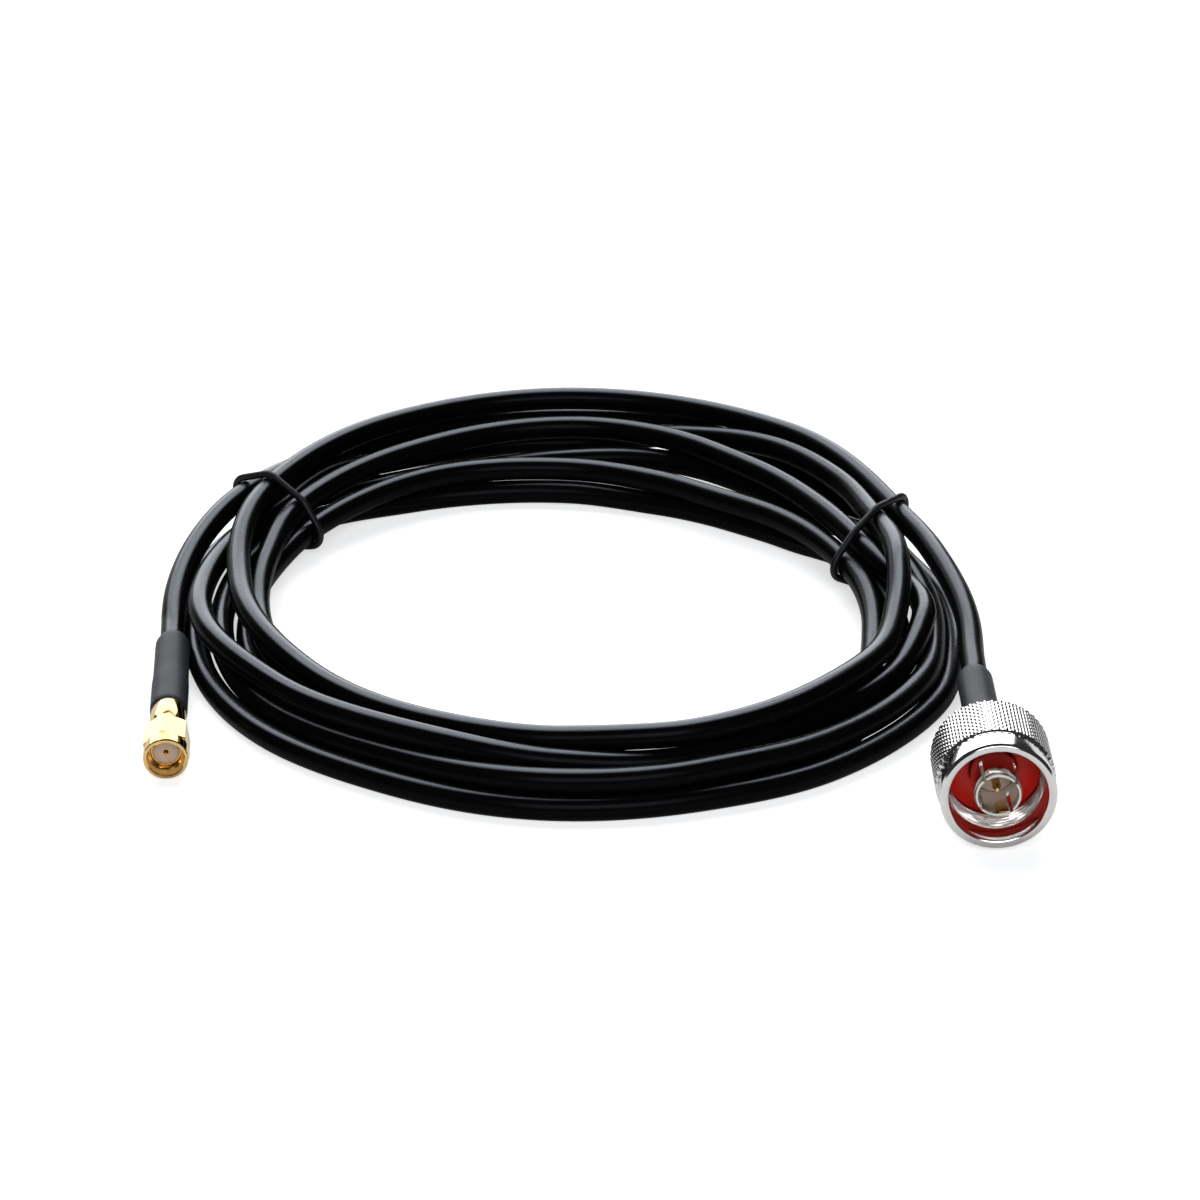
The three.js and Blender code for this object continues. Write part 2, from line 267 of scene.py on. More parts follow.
strandTurns, strandCoil, strandPoints = strandRoute()
strandLength = np.linalg.norm(np.diff(strandPoints, axis=0), axis=1).sum() / 1000
print("strand route:", len(strandPoints), "points,", round(strandLength, 4), "m")


def addCable():
    curve = bpy.data.curves.new("cable", "CURVE")
    curve.dimensions = "3D"
    curve.bevel_depth = cable["diameter"] / 2000
    curve.bevel_resolution = cable["sides"]
    curve.use_fill_caps = True
    spline = curve.splines.new("POLY")
    spline.points.add(len(strandPoints) - 1)
    flat = np.ones((len(strandPoints), 4))
    flat[:, :3] = strandPoints / 1000
    spline.points.foreach_set("co", flat.ravel())
    spline.use_smooth = True
    cord = bpy.data.objects.new("cable", curve)
    bpy.context.scene.collection.objects.link(cord)
    return cord


cableCord = addCable()

# Materials: colours are linear, lengths in metres
finishes = {
    "jacket": {
        "colour": (0.0022, 0.0020, 0.0024),
        "rough": 0.24, "spread": 0.10, "grain": 900, "bump": 0.00003,
    },
    "tie": {
        "colour": (0.004, 0.004, 0.005),
        "rough": 0.45, "spread": 0.12, "grain": 1500, "bump": 0.00003,
    },
    "shrink": {
        "colour": (0.026, 0.029, 0.036),
        "rough": 0.50, "spread": 0.12, "grain": 1100, "bump": 0.00005,
    },
    "nickel": {
        "colour": (0.88, 0.86, 0.84),
        "rough": 0.10, "spread": 0.08, "grain": 2600, "bump": 0.000006,
    },
    "gold": {
        "colour": (0.90, 0.62, 0.24),
        "rough": 0.09, "spread": 0.08, "grain": 2600, "bump": 0.000005,
    },
    "silicone": {
        "colour": (0.80, 0.018, 0.006),
        "rough": 0.40, "spread": 0.10, "grain": 1800, "bump": 0.00002,
    },
    "insulator": {
        "colour": (0.66, 0.50, 0.40),
        "rough": 0.38, "spread": 0.10, "grain": 1600, "bump": 0.00002,
    },
}

# Grain and patches that all of them share, the patches' scale as a share of the grain's
unevenness = {
    "grainDetail": 6,
    "grainRough": 0.6,
    "patchDetail": 3,
    "patchScale": 0.12,
    "dark": 0.88,
    "light": 1.10,
}


def surfaceGroup():
    # Uneven finish shared by the materials: fine grain and broad patches
    group = bpy.data.node_groups.new("surfaceGrain", "ShaderNodeTree")
    face = group.interface
    for name, kind in (("Position", "NodeSocketVector"), ("Scale", "NodeSocketFloat")):
        face.new_socket(name, in_out="INPUT", socket_type=kind)
    for name in ("Grain", "Patches"):
        face.new_socket(name, in_out="OUTPUT", socket_type="NodeSocketFloat")
    nodes = group.nodes
    links = group.links
    source = nodes.new("NodeGroupInput")
    result = nodes.new("NodeGroupOutput")
    grain = nodes.new("ShaderNodeTexNoise")
    grain.inputs["Detail"].default_value = unevenness["grainDetail"]
    grain.inputs["Roughness"].default_value = unevenness["grainRough"]
    broad = nodes.new("ShaderNodeMath")
    broad.operation = "MULTIPLY"
    broad.inputs[1].default_value = unevenness["patchScale"]
    patches = nodes.new("ShaderNodeTexNoise")
    patches.inputs["Detail"].default_value = unevenness["patchDetail"]
    links.new(source.outputs["Position"], grain.inputs["Vector"])
    links.new(source.outputs["Position"], patches.inputs["Vector"])
    links.new(source.outputs["Scale"], grain.inputs["Scale"])
    links.new(source.outputs["Scale"], broad.inputs[0])
    links.new(broad.outputs[0], patches.inputs["Scale"])
    links.new(grain.outputs["Fac"], result.inputs["Grain"])
    links.new(patches.outputs["Fac"], result.inputs["Patches"])
    return group


surfaceGrain = surfaceGroup()


def plainFinish(name, metal=0.0, light=0.5):
    finish = finishes[name]
    material = bpy.data.materials.new(name)
    material.use_nodes = True
    nodes = material.node_tree.nodes
    links = material.node_tree.links
    shader = nodes["Principled BSDF"]
    shader.inputs["Metallic"].default_value = metal
    shader.inputs["Specular IOR Level"].default_value = light
    place = nodes.new("ShaderNodeTexCoord")
    grain = nodes.new("ShaderNodeGroup")
    grain.node_tree = surfaceGrain
    grain.inputs["Scale"].default_value = finish["grain"]
    links.new(place.outputs["Object"], grain.inputs["Position"])
    rough = nodes.new("ShaderNodeMapRange")
    rough.inputs["To Min"].default_value = finish["rough"] - finish["spread"] / 2
    rough.inputs["To Max"].default_value = finish["rough"] + finish["spread"]
    links.new(grain.outputs["Patches"], rough.inputs["Value"])
    links.new(rough.outputs["Result"], shader.inputs["Roughness"])
    tone = nodes.new("ShaderNodeMix")
    tone.data_type = "RGBA"
    dark = [c * unevenness["dark"] for c in finish["colour"]]
    pale = [min(1, c * unevenness["light"]) for c in finish["colour"]]
    tone.inputs["A"].default_value = (*dark, 1)
    tone.inputs["B"].default_value = (*pale, 1)
    links.new(grain.outputs["Patches"], tone.inputs["Factor"])
    links.new(tone.outputs["Result"], shader.inputs["Base Color"])
    bump = nodes.new("ShaderNodeBump")
    bump.inputs["Distance"].default_value = finish["bump"]
    links.new(grain.outputs["Grain"], bump.inputs["Height"])
    links.new(bump.outputs["Normal"], shader.inputs["Normal"])
    return material


# Painted sheen: how strongly the cable reflects on its flanks and on its top, set by which way the
# surface faces and not by the lamps, with a blue tint painted into the reflection
jacketPaintedSheen = {"flank": 0.04, "top": 0.95, "from": 0.83, "to": 0.99, "tint": (0.86, 0.91, 1.0)}


def paintSheenByFacing(material, shine):
    nodes = material.node_tree.nodes
    links = material.node_tree.links
    shader = nodes["Principled BSDF"]
    # Painted sheen: reflection strength rises where the surface faces up, so the top shines and
    # the flanks show almost no reflection, and the reflection is tinted blue
    surface = nodes.new("ShaderNodeNewGeometry")
    split = nodes.new("ShaderNodeSeparateXYZ")
    spread = nodes.new("ShaderNodeMapRange")
    spread.interpolation_type = "SMOOTHSTEP"
    spread.inputs["From Min"].default_value = shine["from"]
    spread.inputs["From Max"].default_value = shine["to"]
    spread.inputs["To Min"].default_value = shine["flank"]
    spread.inputs["To Max"].default_value = shine["top"]
    links.new(surface.outputs["Normal"], split.inputs[0])
    links.new(split.outputs["Z"], spread.inputs["Value"])
    links.new(spread.outputs["Result"], shader.inputs["Specular IOR Level"])
    shader.inputs["Specular Tint"].default_value = (*shine["tint"], 1)


def lightInside(material, weight, depth):
    shader = material.node_tree.nodes["Principled BSDF"]
    shader.inputs["Subsurface Weight"].default_value = weight
    shader.inputs["Subsurface Scale"].default_value = depth


materials = {
    "jacket": plainFinish("jacket"),
    "tie": plainFinish("tie", light=0.3),
    "shrink": plainFinish("shrink", light=0.4),
    "nickel": plainFinish("nickel", metal=1.0),
    "gold": plainFinish("gold", metal=1.0),
    "silicone": plainFinish("silicone"),
    "insulator": plainFinish("insulator"),
}
# Painted sheen on the top of the jacket, painted dullness on its flanks
paintSheenByFacing(materials["jacket"], jacketPaintedSheen)
lightInside(materials["silicone"], 0.2, 0.001)
print("materials:", len(materials))


# Turned and moulded pieces
def addMesh(name, points, faces, material, matrix=None, sharp=35, bevel=0.0):
    mesh = bpy.data.meshes.new(name)
    mesh.from_pydata([tuple(p) for p in points], [], faces)
    work = bmesh.new()
    work.from_mesh(mesh)
    bmesh.ops.remove_doubles(work, verts=work.verts, dist=1e-5)
    bmesh.ops.dissolve_degenerate(work, edges=work.edges, dist=1e-6)
    bmesh.ops.recalc_face_normals(work, faces=work.faces)
    if matrix is not None:
        bmesh.ops.transform(work, matrix=matrix, verts=work.verts)
    work.to_mesh(mesh)
    work.free()
    piece = bpy.data.objects.new(name, mesh)
    bpy.context.scene.collection.objects.link(piece)
    mesh.materials.append(material)
    if bevel:
        roundEdges(piece, bevel, 30)
    smoothShading(piece, sharp)
    return piece


def roundEdges(piece, width, angle):
    rounding = piece.modifiers.new("rounding", "BEVEL")
    rounding.width = width / 1000
    rounding.segments = 2
    rounding.limit_method = "ANGLE"
    rounding.angle_limit = math.radians(angle)
    applyModifiers(piece)


def applyModifiers(piece):
    depsgraph = bpy.context.evaluated_depsgraph_get()
    shaped = bpy.data.meshes.new_from_object(piece.evaluated_get(depsgraph))
    piece.modifiers.clear()
    piece.data = shaped


def smoothShading(piece, sharp):
    mesh = piece.data
    mesh.polygons.foreach_set("use_smooth", [True] * len(mesh.polygons))
    mesh.set_sharp_from_angle(angle=math.radians(sharp))


def ringGrid(rings, closed=True):
    # Faces between rings of points that all have one number of points
    count = len(rings[0])
    points = np.concatenate(rings)
    faces = []
    last = len(rings) if closed else len(rings) - 1
    for i in range(last):
        here = i * count
        there = ((i + 1) % len(rings)) * count
        for j in range(count):
            k = (j + 1) % count
            faces.append((here + j, here + k, there + k, there + j))
    return points, faces


def circle(radius, back, sides):
    turn = np.arange(sides) * 2 * math.pi / sides
    depth = np.full(sides, -back)
    return np.stack([radius * np.cos(turn), radius * np.sin(turn), depth], axis=1)


def turned(name, profile, material, matrix, sides=96, bevel=0.1, sharp=35):
    points, faces = ringGrid([circle(radius, back, sides) for radius, back in profile])
    return addMesh(name, points, faces, material, matrix, sharp, bevel)


def cutWith(piece, cutters, operation="DIFFERENCE"):
    for cutter in cutters:
        change = piece.modifiers.new("cut", "BOOLEAN")
        change.operation = operation
        change.solver = "EXACT"
        change.object = cutter
    applyModifiers(piece)
    for cutter in cutters:
        bpy.data.objects.remove(cutter)


# N plug, lengths in millimetres back from its nut's front face
nPlug = {
    "sides": 480,
    "length": 18.2,
    "ringRadius": 10.65,
    "ringLength": 5.0,
    "knurlRadius": 11.0,
    "knurlDepth": 0.3,
    "diamonds": 48,
    "knurlPitch": 1.4,
    "grooveSlope": 2.3,
    "mouthRadius": 9.05,
    "boreRadius": 8.85,
    "threadFront": 4.7,
    "threadBack": 10.5,
    "threadPitch": 1.058,
    "threadDepth": 0.45,
    "flangeRadius": 8.55,
    "flangeFront": 12.0,
    "flangeBack": 13.8,
    "neckRadius": 5.6,
    "bodyEnd": 21.2,
    "contactRadius": 4.4,
    "contactWall": 0.75,
    "contactFront": 0.6,
    "slotWidth": 0.7,
    "slotEnd": 7.6,
    "slotAngle": 40,
    "slotCut": 12.0,  # length of the cutter across the contact
    "pinRadius": 0.82,
    "pinTip": 2.8,
    "pinNose": 1.6,
    "pinNarrows": 0.62,
    "pinSteps": 8,
    "dielectricFront": 9.4,
    "gap": 0.3,
}

ferrule = {"radius": 2.8, "length": 12.0}

# Rings for each pitch of knurl and thread, and the threads' flat crests and roots
ridges = {"perPitch": 6, "steepness": 1.35, "root": 0.175, "fade": 4}


def waveAt(value):
    # Height from 0 to 1 and back over each whole step
    return 1 - np.abs(2 * (value - np.floor(value)) - 1)


def knurlRings(part):
    start = part["ringLength"] + 0.75
    end = part["length"] - 0.6
    step = part["knurlPitch"] / ridges["perPitch"]
    turn = np.arange(part["sides"]) / part["sides"]
    rings = []
    for back in np.arange(start, end, step):
        one = waveAt(part["diamonds"] * turn + back / part["knurlPitch"])
        two = waveAt(part["diamonds"] * turn - back / part["knurlPitch"])
        depth = part["knurlDepth"] * np.maximum(1 - part["grooveSlope"] * np.minimum(one, two), 0)
        ring = circle(1.0, back, part["sides"])
        ring[:, :2] *= (part["knurlRadius"] - depth)[:, None]
        rings.append(ring)
    return rings


def threadRings(radius, depth, pitch, front, back, sides):
    # Ridges that wind along a bore, listed from the back to the front
    turn = np.arange(sides) / sides
    rings = []
    steps = int(round((back - front) / (pitch / ridges["perPitch"])))
    for i in range(steps + 1):
        at = back + (front - back) * i / steps
        fade = min(1, i / ridges["fade"], (steps - i) / ridges["fade"])
        wave = waveAt(at / pitch + turn)
        ridge = np.clip(ridges["steepness"] * wave - ridges["root"], 0, 1)
        ring = circle(1.0, at, sides)
        ring[:, :2] *= (radius - fade * depth * ridge)[:, None]
        rings.append(ring)
    return rings


def addNutN():
    part = nPlug
    sides = part["sides"]
    bore = part["boreRadius"]
    outer = part["ringRadius"]
    knurl = part["knurlRadius"]
    hole = part["neckRadius"] + part["gap"]
    profile = [
        (part["mouthRadius"] + 0.05, 0.12),
        (part["mouthRadius"] + 0.18, 0.02),
        (part["mouthRadius"] + 0.3, 0.0),
        (outer - 0.62, 0.0),
        (outer - 0.5, 0.02),
        (outer - 0.38, 0.1),
        (outer - 0.06, 0.42),
        (outer, 0.52),
        (outer, 0.6),
        (outer, part["ringLength"] - 0.12),
        (outer - 0.03, part["ringLength"]),
        (outer - 0.22, part["ringLength"] + 0.06),
        (outer - 0.22, part["ringLength"] + 0.28),
        (outer - 0.1, part["ringLength"] + 0.34),
        (knurl - part["knurlDepth"], part["ringLength"] + 0.6),
    ]
    rings = [circle(radius, back, sides) for radius, back in profile]
    rings += knurlRings(part)
    rear = [
        (knurl - part["knurlDepth"], part["length"] - 0.5),
        (knurl - 0.75, part["length"] - 0.1),
        (knurl - 0.9, part["length"]),
        (hole + 0.15, part["length"]),
        (hole, part["length"] - 0.15),
        (hole, part["flangeBack"] + part["gap"]),
        (bore, part["flangeBack"] + part["gap"]),
        (bore, part["threadBack"] + 0.2),
    ]
    rings += [circle(radius, back, sides) for radius, back in rear]
    thread = (part["threadDepth"], part["threadPitch"], part["threadFront"], part["threadBack"])
    rings += threadRings(bore, *thread, sides)
    front = [
        (bore, part["threadFront"] - 0.2),
        (bore, 1.4),
        (bore + 0.06, 1.2),
        (part["mouthRadius"], 0.5),
    ]
    rings += [circle(radius, back, sides) for radius, back in front]
    points, faces = ringGrid(rings)
    nut = addMesh("nPlugNut", points, faces, materials["nickel"], nMatrix, sharp=40)
    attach(nut, "n_nut")
    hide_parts("n_nut")
    return nut


def addBodyN():
    part = nPlug
    profile = [
        (0, part["flangeFront"]),
        (part["flangeRadius"], part["flangeFront"]),
        (part["flangeRadius"], part["flangeBack"]),
        (part["neckRadius"], part["flangeBack"]),
        (part["neckRadius"], part["bodyEnd"] - 0.6),
        (part["neckRadius"] - 0.6, part["bodyEnd"]),
        (ferrule["radius"], part["bodyEnd"]),
        (ferrule["radius"], part["bodyEnd"] + ferrule["length"]),
        (0, part["bodyEnd"] + ferrule["length"]),
    ]
    return turned("nPlugBody", profile, materials["nickel"], nMatrix, bevel=0.12)


def addContactN():
    part = nPlug
    radius = part["contactRadius"]
    inner = radius - part["contactWall"]
    back = part["flangeFront"] - 0.01
    tip = part["contactFront"]
    profile = [
        (inner + 0.1, tip),
        (inner, tip + 0.25),
        (inner, back),
        (radius, back),
        (radius, 2.2),
        (radius - 0.12, tip + 0.35),
        (radius - 0.3, tip),
    ]
    contact = turned("nPlugContact", profile, materials["nickel"], None, bevel=0.0)
    contact.data.transform(Matrix.Scale(0.001, 4))
    slots = []
    for angle in (part["slotAngle"], part["slotAngle"] + 90):
        bpy.ops.mesh.primitive_cube_add(size=1)
        slot = bpy.context.object
        slot.scale = np.array((part["slotWidth"], part["slotCut"], part["slotEnd"] + 2)) / 1000
        slot.location = (0, 0, (2 - part["slotEnd"]) / 2000)
        slot.rotation_euler = (0, 0, math.radians(angle))
        slots.append(slot)
    bpy.context.view_layer.update()
    cutWith(contact, slots)
    contact.data.transform(nMatrix @ Matrix.Scale(1000, 4))
    roundEdges(contact, 0.06, 40)
    smoothShading(contact, 35)
    return contact


def addGasketN():
    part = nPlug
    front = part["flangeFront"] - 1.1
    inner = part["contactRadius"] + 0.05
    outer = part["boreRadius"] - 0.1
    profile = [
        (inner, front + 0.15),
        (inner + 0.15, front),
        (outer - 0.35, front),
        (outer - 0.1, front + 0.1),
        (outer, front + 0.35),
        (outer, part["flangeFront"] - 0.05),
        (inner, part["flangeFront"] - 0.05),
    ]
    return turned("nPlugGasket", profile, materials["silicone"], nMatrix, bevel=0.05)


def addDielectricN():
    part = nPlug
    outer = part["contactRadius"] - part["contactWall"] - 0.02
    inner = part["pinRadius"] + 0.02
    back = part["flangeFront"] - 0.02
    front = part["dielectricFront"]
    profile = [(inner, front), (inner, back), (outer, back), (outer, front)]
    return turned("nPlugDielectric", profile, materials["insulator"], nMatrix, bevel=0.08)


def addPinN():
    part = nPlug
    radius = part["pinRadius"]
    tip = part["pinTip"]
    back = part["flangeFront"] - 0.02
    steps = part["pinSteps"]
    profile = [(0, back), (radius, back), (radius, tip + part["pinNose"])]
    for i in range(1, steps + 1):
        turn = i / steps * math.pi / 2
        shrink = 1 - part["pinNarrows"] * math.sin(turn) ** 1.2
        # The last edge but one lies further back, which blunts the tip
        blunt = 0.12 * (i == steps - 1)
        profile.append((radius * shrink, tip + part["pinNose"] * (1 - math.sin(turn)) + blunt))
    profile.append((0, tip))
    return turned("nPlugPin", profile, materials["gold"], nMatrix, sides=48, bevel=0.0, sharp=50)


# Small plug with the hex nut
smaPlug = {
    "sides": 96,
    "collarRadius": 4.25,
    "collarLength": 3.2,
    "flats": 8.0,
    "hexEnd": 10.0,
    "hexTurn": 8,
    "chamfer": 0.45,
    "boreRadius": 3.25,
    "threadPitch": 0.706,
    "threadDepth": 0.28,
    "shellRadius": 2.95,
    "shellFront": 2.9,
    "shellBack": 7.4,
    "lipRadius": 2.5,
    "barrelRadius": 3.45,
    "barrelEnd": 18.4,
    "dielectricRadius": 2.45,
    "socketRadius": 0.65,
    "socketBore": 0.47,
    "gap": 0.3,
}


def addNutSma():
    part = smaPlug
    sides = part["sides"]
    bore = part["boreRadius"]
    corner = part["flats"] / 2 / math.cos(math.radians(30))
    hole = part["lipRadius"] + part["gap"]
    collar = part["collarLength"]
    outer = part["collarRadius"]
    profile = [
        (outer - 0.35, 0.0),
        (outer - 0.12, 0.08),
        (outer, 0.3),
        (outer, collar - 0.12),
        (outer - 0.12, collar),
        (corner - 0.12, collar),
        (corner + 0.1, collar + 0.22),
        (corner + 0.1, part["hexEnd"] - part["chamfer"] * 0.7),
        (part["flats"] / 2 - 0.1, part["hexEnd"]),
        (hole + 0.1, part["hexEnd"]),
        (hole, part["hexEnd"] - 0.1),
        (hole, part["shellBack"] + part["gap"]),
        (bore, part["shellBack"] + part["gap"]),
    ]
    rings = [circle(radius, back, sides) for radius, back in profile]
    thread = (part["threadDepth"], part["threadPitch"], 1.5, part["shellBack"] - 0.4)
    rings += threadRings(bore, *thread, sides)
    mouth = [(bore, 1.0), (bore + 0.1, 0.6), (outer - 0.75, 0.12), (outer - 0.62, 0.0)]
    rings += [circle(radius, back, sides) for radius, back in mouth]
    points, faces = ringGrid(rings)
    nut = addMesh("smaPlugNut", points, faces, materials["gold"], Matrix.Scale(0.001, 4), sharp=30)
    # What stays: the hex behind the collar, and all that is in front of it
    hexSides = [circle(corner, collar, 6), circle(corner, part["hexEnd"] + 2, 6)]
    turn = Matrix.Rotation(math.radians(part["hexTurn"] - 30), 4, "Z")
    frontSides = [circle(outer + 1, -1.0, 24), circle(outer + 1, collar - 0.02, 24)]
    cutters = []
    for label, shape, spin in (("hex", hexSides, turn), ("front", frontSides, Matrix.Identity(4))):
        corners, walls = ringGrid(shape, closed=False)
        count = len(shape[0])
        walls.append(tuple(range(count)))
        walls.append(tuple(range(count, 2 * count)))
        place = Matrix.Scale(0.001, 4) @ spin
        cutters.append(addMesh(label, corners, walls, materials["gold"], place))
    join = cutters[0].modifiers.new("join", "BOOLEAN")
    join.operation = "UNION"
    join.solver = "EXACT"
    join.object = cutters[1]
    applyModifiers(cutters[0])
    bpy.data.objects.remove(cutters[1])
    cutWith(nut, [cutters[0]], "INTERSECT")
    nut.data.transform(smaMatrix @ Matrix.Scale(1000, 4))
    smoothShading(nut, 25)
    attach(nut, "sma_nut")
    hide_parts("sma_nut")
    return nut


def addBodySma():
    part = smaPlug
    front = part["hexEnd"] + part["gap"]
    profile = [
        (0, part["barrelEnd"] + ferrule["length"]),
        (ferrule["radius"], part["barrelEnd"] + ferrule["length"]),
        (ferrule["radius"], part["barrelEnd"]),
        (part["barrelRadius"], part["barrelEnd"]),
        (part["barrelRadius"], front + 0.25),
        (part["barrelRadius"] - 0.25, front),
        (part["lipRadius"], front),
        (part["lipRadius"], part["shellBack"]),
        (part["shellRadius"], part["shellBack"]),
        (part["shellRadius"], part["shellFront"]),
        (part["dielectricRadius"] + 0.04, part["shellFront"]),
        (part["dielectricRadius"] + 0.04, part["shellBack"] - 1),
        (0, part["shellBack"] - 1),
    ]
    return turned("smaPlugBody", profile, materials["gold"], smaMatrix, bevel=0.08)


def addDielectricSma():
    part = smaPlug
    inner = part["socketRadius"] + 0.02
    back = part["shellBack"] - 1.02
    radius = part["dielectricRadius"]
    front = part["shellFront"]
    profile = [(inner, front), (inner, back), (radius, back), (radius, front)]
    return turned("smaPlugDielectric", profile, materials["insulator"], smaMatrix, bevel=0.08)


def addSocketSma():
    part = smaPlug
    back = part["shellBack"] - 1.02
    front = part["shellFront"] + 0.05
    profile = [
        (0, back),
        (part["socketRadius"], back),
        (part["socketRadius"], front),
        (part["socketBore"], front),
        (part["socketBore"], back - 0.6),
        (0, back - 0.6),
    ]
    return turned("smaPlugSocket", profile, materials["gold"], smaMatrix, sides=48, bevel=0.03)


# Shrink sleeves
sleeve = {
    "radius": 3.6,
    "tail": 2.85,
    "taper": 2.2,
    "length": 29.0,
    "bore": 2.52,
    "sink": 0.16,  # past the ferrule's end
    "sinkSlope": 1.4,
    "steps": 24,
    "tailSteps": 8,
}


def addSleeve(name, front, matrix):
    bore = ferrule["radius"] + 0.03
    mouth = sleeve["radius"]
    end = front + sleeve["length"]
    ledge = front + ferrule["length"] + 0.1
    profile = [(mouth - 0.12, front), (mouth, front + 0.15)]
    for i in range(1, sleeve["steps"]):
        at = front + (sleeve["length"] - sleeve["taper"]) * i / sleeve["steps"]
        sink = sleeve["sink"] / (1 + math.exp(-(at - ledge) * sleeve["sinkSlope"]))
        profile.append((mouth - sink, at))
    for i in range(1, sleeve["tailSteps"] + 1):
        share = i / sleeve["tailSteps"]
        ease = share * share * (3 - 2 * share)
        radius = mouth - sleeve["sink"] + (sleeve["tail"] - mouth + sleeve["sink"]) * ease
        profile.append((radius, end - sleeve["taper"] * (1 - share)))
    tail = sleeve["bore"]
    profile += [(tail + 0.05, end), (tail, end - 0.1), (tail, ledge), (bore, ledge), (bore, front)]
    return turned(name, profile, materials["shrink"], matrix, bevel=0.0, sharp=50)


for maker, node, slotName in (
    (addBodyN, "n_body", "nickel"),
    (addContactN, "n_outer_contact", "nickel"),
    (addGasketN, "n_gasket", "silicone"),
    (addDielectricN, "n_dielectric", "insulator"),
    (addPinN, "n_center_pin", "gold"),
    (addBodySma, "sma_body", "gold"),
    (addDielectricSma, "sma_dielectric", "insulator"),
    (addSocketSma, "sma_center_socket", "gold"),
):
    piece = maker()
    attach(piece, "cable")
    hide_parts(node)
    print("piece:", piece.name)
addNutN()
nutSma = addNutSma()
for name, front, matrix, node in (
    ("nPlugSleeve", nPlug["bodyEnd"] + 0.05, nMatrix, "n_heat_shrink"),
    ("smaPlugSleeve", smaPlug["barrelEnd"] + 0.05, smaMatrix, "sma_heat_shrink"),
):
    piece = addSleeve(name, front, matrix)
    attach(piece, "cable")
    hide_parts(node)
print("plugs and sleeves built")

# Rubber ties: angle round the coil, and how much it grows with each millimetre past the radius
ties = {
    "diameter": 1.5,
    "clear": 0.02,
    "step": 9,
    "sides": 16,
    "closest": 0.3,
    "left": {"angle": 147.0, "radius": 72.0, "slant": 0.0},
    "right": {"angle": 21.5, "radius": 68.0, "slant": 0.5},
}


def tieAngle(tie, radius):
    return tie["angle"] + tie["slant"] * (radius - tie["radius"])


def strandsAt(tie):
    # Radius and height of each pass where the tie crosses it
    found = []
    radius = np.hypot(*(strandCoil[:, :2] - cable["centre"]).T)
    for number in range(-1, cable["passes"] + 1):
        turn = tie["angle"] + 360 * number
        if strandTurns[0] <= turn <= strandTurns[-1]:
            for _ in range(3):
                r = np.interp(turn, strandTurns, radius)
                turn = tieAngle(tie, r) + 360 * number
            z = np.interp(turn, strandTurns, strandCoil[:, 2])
            found.append((r, z))
    return found


def turnOf(start, middle, end):
    # Above zero where the way through the three points bends to the left
    first = (middle[0] - start[0], middle[1] - start[1])
    second = (end[0] - start[0], end[1] - start[1])
    return first[0] * second[1] - first[1] * second[0]


def hullOf(points):
    points = sorted(points)
    halves = []
    for order in (points, points[::-1]):
        half = []
        for p in order:
            while len(half) >= 2 and turnOf(half[-2], half[-1], p) <= 0:
                half.pop()
            half.append(p)
        halves.append(half[:-1])
    return halves[0] + halves[1]


def tiePath(tie):
    reach = (cable["diameter"] + ties["diameter"]) / 2 + ties["clear"]
    hull = hullOf(strandsAt(tie))
    path = []
    for i, corner in enumerate(hull):
        before = np.subtract(corner, hull[i - 1])
        after = np.subtract(hull[(i + 1) % len(hull)], corner)
        start = math.degrees(math.atan2(before[1], before[0])) - 90
        end = math.degrees(math.atan2(after[1], after[0])) - 90
        while end < start:
            end += 360
        steps = max(1, int((end - start) / ties["step"]))
        for j in range(steps + 1):
            turn = math.radians(start + (end - start) * j / steps)
            path.append((corner[0] + reach * math.cos(turn), corner[1] + reach * math.sin(turn)))
    return path


def addTie(name, tie):
    centre = []
    for radius, height in tiePath(tie):
        turn = math.radians(tieAngle(tie, radius))
        x = cable["centre"][0] + radius * math.cos(turn)
        y = cable["centre"][1] + radius * math.sin(turn)
        centre.append((x, y, height))
    centre = np.array(centre)
    keep = [0]
    for i in range(1, len(centre)):
        if np.linalg.norm(centre[i] - centre[keep[-1]]) > ties["closest"]:
            keep.append(i)
    centre = centre[keep]
    # The loop lies near one upright plane, and out is the way across it
    reach = np.hypot(*(centre[:, :2] - cable["centre"]).T)
    out = np.cross(centre[np.argmax(reach)] - centre[np.argmin(reach)], (0, 0, 1.0))
    out /= -np.linalg.norm(out)
    around = np.arange(ties["sides"]) * 2 * math.pi / ties["sides"]
    radius = ties["diameter"] / 2
    rings = []
    for i in range(len(centre)):
        along = centre[(i + 1) % len(centre)] - centre[i - 1]
        along /= np.linalg.norm(along)
        normal = np.cross(along, out)
        ring = np.cos(around)[:, None] * normal + np.sin(around)[:, None] * out
        rings.append(centre[i] + radius * ring)
    points, faces = ringGrid(rings)
    return addMesh(name, points, faces, materials["tie"], Matrix.Scale(0.001, 4), sharp=80)


for name, tie, node in (
    ("tieLeft", ties["left"], "tie_left"),
    ("tieRight", ties["right"], "tie_right"),
):
    piece = addTie(name, tie)
    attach(piece, "cable")
    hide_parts(node)
print("ties built")

cableCord.data.materials.append(materials["jacket"])
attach(cableCord, "cable")
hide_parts("cable_coil", "cable_lead_n", "cable_lead_sma")

# Stage: pale floor and soft light from behind and above
stage = {
    "floor": (0.88, 0.88, 0.88),
    "floorRough": 0.9,
    "floorSide": 3,  # metres from the middle to its sides and front
    "floorBack": 4,
    "seenInShine": (0.92, 0.90, 0.87),  # the floor's colour in reflections
    "lift": 0.62,  # added to the floor for the camera alone
    "room": 0.03,
    "roomColour": (0.95, 0.97, 1.0),
    "lampColour": (0.93, 0.96, 1.0),
}


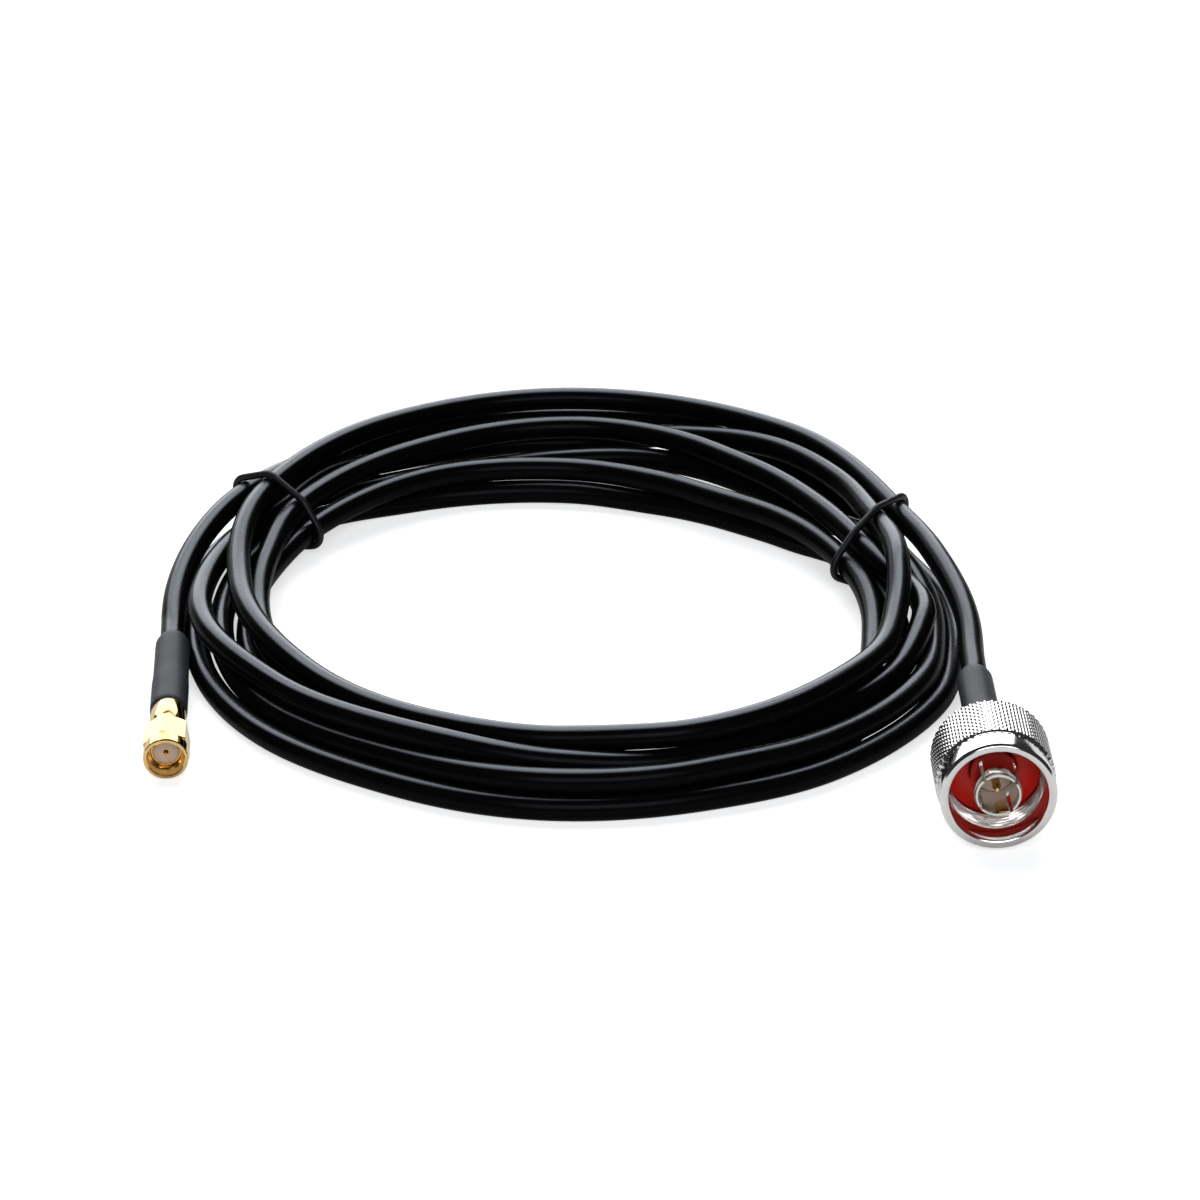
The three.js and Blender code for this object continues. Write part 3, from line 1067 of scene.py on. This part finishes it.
def addFloor():
    side = stage["floorSide"]
    back = stage["floorBack"]
    points = [(-side, -side, 0), (side, -side, 0), (side, back, 0), (-side, back, 0)]
    mesh = bpy.data.meshes.new("floor")
    mesh.from_pydata(points, [], [(0, 1, 2, 3)])
    floor = bpy.data.objects.new("floor", mesh)
    bpy.context.scene.collection.objects.link(floor)
    material = bpy.data.materials.new("floor")
    material.use_nodes = True
    nodes = material.node_tree.nodes
    links = material.node_tree.links
    shader = nodes["Principled BSDF"]
    ray = nodes.new("ShaderNodeLightPath")
    tone = nodes.new("ShaderNodeMix")
    tone.data_type = "RGBA"
    tone.inputs["A"].default_value = (*stage["floor"], 1)
    tone.inputs["B"].default_value = (*stage["seenInShine"], 1)
    links.new(ray.outputs["Is Glossy Ray"], tone.inputs["Factor"])
    links.new(tone.outputs["Result"], shader.inputs["Base Color"])
    lift = nodes.new("ShaderNodeMath")
    lift.operation = "MULTIPLY"
    lift.inputs[1].default_value = stage["lift"]
    links.new(ray.outputs["Is Camera Ray"], lift.inputs[0])
    links.new(lift.outputs[0], shader.inputs["Emission Strength"])
    shader.inputs["Roughness"].default_value = stage["floorRough"]
    shader.inputs["Specular IOR Level"].default_value = 0.0
    shader.inputs["Emission Color"].default_value = (1, 1, 1, 1)
    mesh.materials.append(material)


lamps = [
    {"name": "back", "at": (-0.22, 1.30, 0.38), "size": (1.5, 0.75), "glow": 2.7},
    {"name": "top", "at": (-0.15, 0.62, 1.05), "size": (1.4, 1.0), "glow": 2.7},
    {"name": "front", "at": (0.1, -1.1, 0.8), "size": (1.0, 0.6), "glow": 4.4},
]


def addLamp(lamp):
    data = bpy.data.lights.new(lamp["name"], "AREA")
    data.shape = "RECTANGLE"
    data.size = lamp["size"][0]
    data.size_y = lamp["size"][1]
    data.energy = lamp["glow"] * lamp["size"][0] * lamp["size"][1] * math.pi
    data.color = stage["lampColour"]
    light = bpy.data.objects.new(lamp["name"], data)
    bpy.context.scene.collection.objects.link(light)
    light.location = lamp["at"]
    light.rotation_euler = Vector(lamp["at"]).to_track_quat("Z", "Y").to_euler()


def addWorld():
    world = bpy.data.worlds.new("world")
    bpy.context.scene.world = world
    world.use_nodes = True
    backdrop = world.node_tree.nodes["Background"]
    backdrop.inputs["Color"].default_value = (*stage["roomColour"], 1)
    backdrop.inputs["Strength"].default_value = stage["room"]


addFloor()
for lamp in lamps:
    addLamp(lamp)
addWorld()
bpy.context.scene.view_settings.view_transform = "Standard"
print("stage lit")
